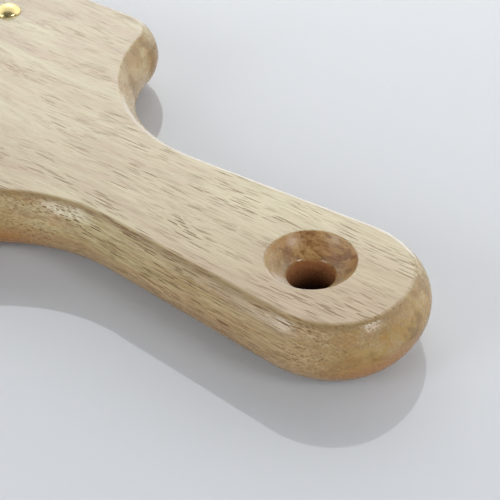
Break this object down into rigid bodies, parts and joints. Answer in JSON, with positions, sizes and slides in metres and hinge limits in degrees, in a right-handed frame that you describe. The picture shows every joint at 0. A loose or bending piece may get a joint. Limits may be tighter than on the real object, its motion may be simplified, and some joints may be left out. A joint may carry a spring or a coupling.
{
  "type": "hand carder",
  "caption": "Wooden hand carder: flat paddle with a tapered grip, a bowled hanging hole and a head that carries wire card clothing held by domed brass nails.",
  "frame": {"origin": "middle of the carder's footprint on the surface it lies on, at the back of the board", "axes": "+X along the grip to the hanging end, +Y across the head, +Z out of the face that carries the wires"},
  "size_m": [0.245, 0.1236, 0.0258],
  "materials": {
    "wood": "pale close-grained hardwood under a thin clear lacquer",
    "felt": "matt wool felt",
    "cotton": "plain woven cotton",
    "rubber": "matt rubber",
    "brass": "polished"
  },
  "bodies": {
    "root": {"board": "wood", "felt_cushion": "felt", "cotton_backing": "cotton", "wired_rubber": "rubber", "brass_nail_01": "brass", "brass_nail_02": "brass", "brass_nail_03": "brass", "brass_nail_04": "brass", "brass_nail_05": "brass", "brass_nail_06": "brass", "brass_nail_07": "brass", "brass_nail_08": "brass", "brass_nail_09": "brass", "brass_nail_10": "brass", "brass_nail_11": "brass", "brass_nail_12": "brass", "brass_nail_13": "brass", "brass_nail_14": "brass"}
  },
  "joints": []
}
